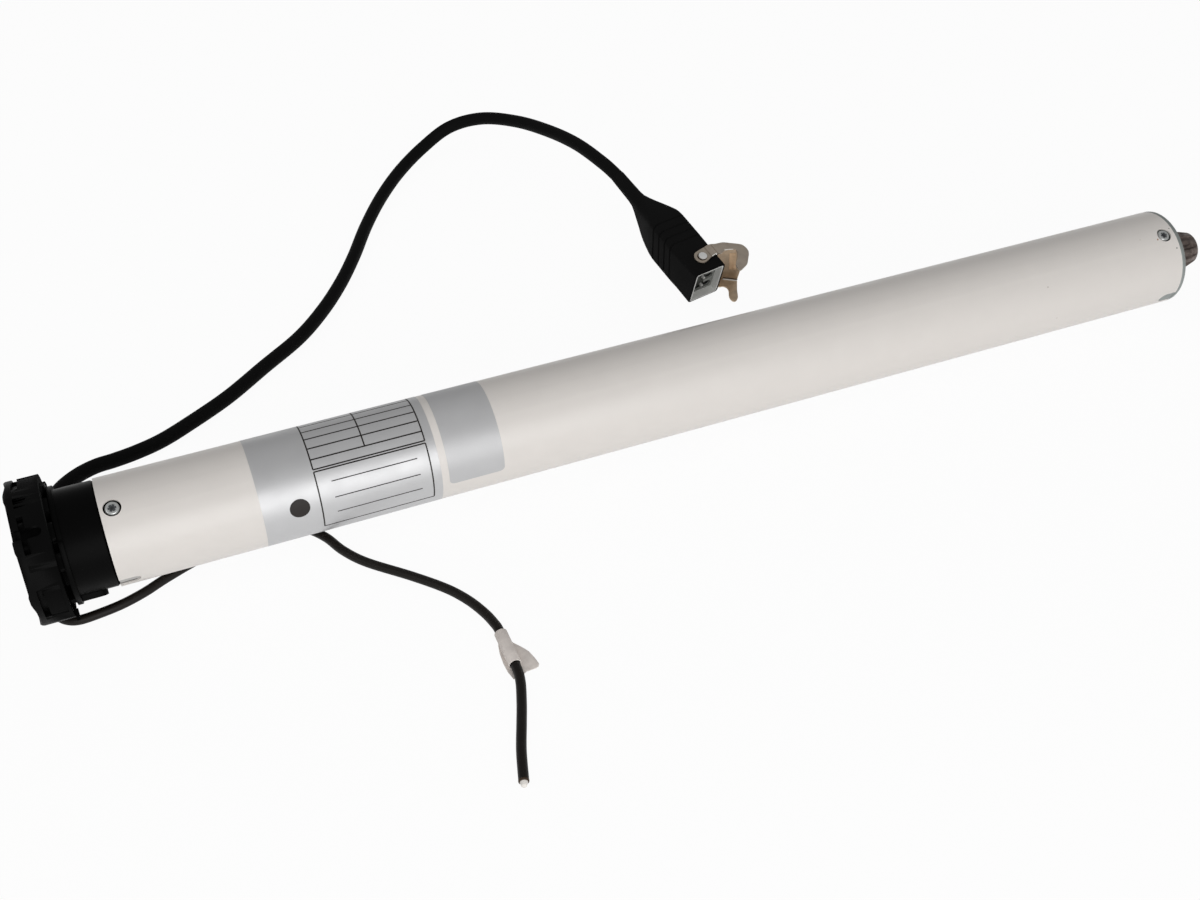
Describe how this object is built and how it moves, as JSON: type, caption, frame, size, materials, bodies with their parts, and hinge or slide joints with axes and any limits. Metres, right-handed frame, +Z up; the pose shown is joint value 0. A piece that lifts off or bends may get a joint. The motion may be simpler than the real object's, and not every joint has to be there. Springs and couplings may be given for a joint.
{
  "type": "tubular roller blind motor",
  "caption": "Tubular motor for a roller blind: white tube with a star head and running ring, splined drive end, mains cord with plug and latch, and an aerial lead.",
  "frame": {"origin": "centre of the bracket bolt circle, on the head's outer face and the motor axis", "axes": "+X along the motor axis from the head to the drive end, +Z up as the motor lies on a table"},
  "size_m": [0.7275, 0.5524, 0.076],
  "materials": {
    "black_plastic": "fine moulded texture, satin",
    "cord_rubber": "matt extruded jacket",
    "white_paint": "warm white powder coat on steel tube",
    "zinc_plate": "zinc plated",
    "zinc_casting": "grey die-cast zinc",
    "light_alloy": "die-cast, as cast",
    "dark_steel": "turned and darkened",
    "steel": "ground",
    "bronze_sheet": "yellow passivated sheet",
    "copper": "enamelled copper wire",
    "board": "solder mask",
    "pale_plastic": "moulded, satin",
    "dark_component": "moulded housing",
    "shield_can": "tinned sheet",
    "paper": "plain uncoated",
    "white_core": "bare cable core"
  },
  "bodies": {
    "root": {"motor_head": "black_plastic", "head_cover": "black_plastic", "head_inserts": "bronze_sheet", "head_screws": "zinc_plate", "tube": "white_paint", "board_carrier": "black_plastic", "circuit_board": "board", "terminal_block": "pale_plastic", "relays": "dark_component", "supply_transformer": "dark_component", "radio_module": "shield_can", "run_capacitor": "pale_plastic", "capacitor_holder": "black_plastic", "brake_housing": "steel", "brake_coil": "copper", "front_shield": "light_alloy", "front_bearing": "steel", "stator_core": "steel", "stator_windings": "copper", "rear_shield": "light_alloy", "rear_bearing": "steel", "gearbox_plate": "light_alloy", "ring_gear": "steel", "output_bush": "bronze_sheet", "output_flange": "zinc_casting", "flange_screws": "zinc_plate", "cord_boot": "cord_rubber", "power_cord": "cord_rubber", "plug_housing": "black_plastic", "plug_insert": "pale_plastic", "plug_contacts": "zinc_plate", "bail_pins": "zinc_plate", "aerial_grommet": "cord_rubber", "aerial_lead": "cord_rubber", "aerial_core": "white_core", "aerial_tag": "paper"},
    "running_ring": {"running_ring": "black_plastic"},
    "output": {"output_shaft": "dark_steel"},
    "carrier_2": {"carrier_2": "dark_steel"},
    "carrier_1": {"carrier_1": "dark_steel"},
    "rotor": {"rotor_core": "steel", "rotor_shaft": "dark_steel", "brake_disc": "dark_steel"},
    "brake_armature": {"brake_armature": "steel"},
    "bail": {"bail": "bronze_sheet"},
    "planet_1a": {"planet_1a": "steel"},
    "planet_1b": {"planet_1b": "steel"},
    "planet_1c": {"planet_1c": "steel"},
    "planet_2a": {"planet_2a": "steel"},
    "planet_2b": {"planet_2b": "steel"},
    "planet_2c": {"planet_2c": "steel"},
    "planet_3a": {"planet_3a": "steel"},
    "planet_3b": {"planet_3b": "steel"},
    "planet_3c": {"planet_3c": "steel"}
  },
  "joints": [
    {"name": "ring_spin", "type": "hinge", "parent": "root", "child": "running_ring", "pos_m": [0.0337, 0, 0], "axis": [1, 0, 0], "continuous": true},
    {"name": "output_spin", "type": "hinge", "parent": "root", "child": "output", "pos_m": [0.7, 0, 0], "axis": [1, 0, 0], "continuous": true},
    {"name": "carrier_2_spin", "type": "hinge", "parent": "root", "child": "carrier_2", "pos_m": [0.6279, 0, 0], "axis": [1, 0, 0], "continuous": true},
    {"name": "carrier_1_spin", "type": "hinge", "parent": "root", "child": "carrier_1", "pos_m": [0.6035, 0, 0], "axis": [1, 0, 0], "continuous": true},
    {"name": "rotor_spin", "type": "hinge", "parent": "root", "child": "rotor", "pos_m": [0.505, 0, 0], "axis": [1, 0, 0], "continuous": true},
    {"name": "planet_3a_spin", "type": "hinge", "parent": "output", "child": "planet_3a", "pos_m": [0.6426, 0, -0.01402], "axis": [1, 0, 0], "continuous": true},
    {"name": "planet_3b_spin", "type": "hinge", "parent": "output", "child": "planet_3b", "pos_m": [0.6426, 0.01215, 0.00701], "axis": [1, 0, 0], "continuous": true},
    {"name": "planet_3c_spin", "type": "hinge", "parent": "output", "child": "planet_3c", "pos_m": [0.6426, -0.01215, 0.00701], "axis": [1, 0, 0], "continuous": true},
    {"name": "planet_2a_spin", "type": "hinge", "parent": "carrier_2", "child": "planet_2a", "pos_m": [0.6157, 0, -0.01402], "axis": [1, 0, 0], "continuous": true},
    {"name": "planet_2b_spin", "type": "hinge", "parent": "carrier_2", "child": "planet_2b", "pos_m": [0.6157, 0.01215, 0.00701], "axis": [1, 0, 0], "continuous": true},
    {"name": "planet_2c_spin", "type": "hinge", "parent": "carrier_2", "child": "planet_2c", "pos_m": [0.6157, -0.01215, 0.00701], "axis": [1, 0, 0], "continuous": true},
    {"name": "planet_1a_spin", "type": "hinge", "parent": "carrier_1", "child": "planet_1a", "pos_m": [0.5928, 0, -0.01402], "axis": [1, 0, 0], "continuous": true},
    {"name": "planet_1b_spin", "type": "hinge", "parent": "carrier_1", "child": "planet_1b", "pos_m": [0.5928, 0.01215, 0.00701], "axis": [1, 0, 0], "continuous": true},
    {"name": "planet_1c_spin", "type": "hinge", "parent": "carrier_1", "child": "planet_1c", "pos_m": [0.5928, -0.01215, 0.00701], "axis": [1, 0, 0], "continuous": true},
    {"name": "brake_release", "type": "slide", "parent": "root", "child": "brake_armature", "axis": [1, 0, 0], "range_m": [0, 0.0004]},
    {"name": "bail_swing", "type": "hinge", "parent": "root", "child": "bail", "pos_m": [0.43234, 0.10884, -0.01196], "axis": [0.056, -0.2527, 0.9659], "range_deg": [-95, 0]}
  ],
  "couplings": [
    {"joint": "carrier_2_spin", "follows": "output_spin", "ratio": 5.5},
    {"joint": "carrier_1_spin", "follows": "output_spin", "ratio": 30.25},
    {"joint": "rotor_spin", "follows": "output_spin", "ratio": 166.38},
    {"joint": "planet_3a_spin", "follows": "output_spin", "ratio": -2.5714},
    {"joint": "planet_3b_spin", "follows": "output_spin", "ratio": -2.5714},
    {"joint": "planet_3c_spin", "follows": "output_spin", "ratio": -2.5714},
    {"joint": "planet_2a_spin", "follows": "output_spin", "ratio": -14.143},
    {"joint": "planet_2b_spin", "follows": "output_spin", "ratio": -14.143},
    {"joint": "planet_2c_spin", "follows": "output_spin", "ratio": -14.143},
    {"joint": "planet_1a_spin", "follows": "output_spin", "ratio": -77.786},
    {"joint": "planet_1b_spin", "follows": "output_spin", "ratio": -77.786},
    {"joint": "planet_1c_spin", "follows": "output_spin", "ratio": -77.786}
  ]
}
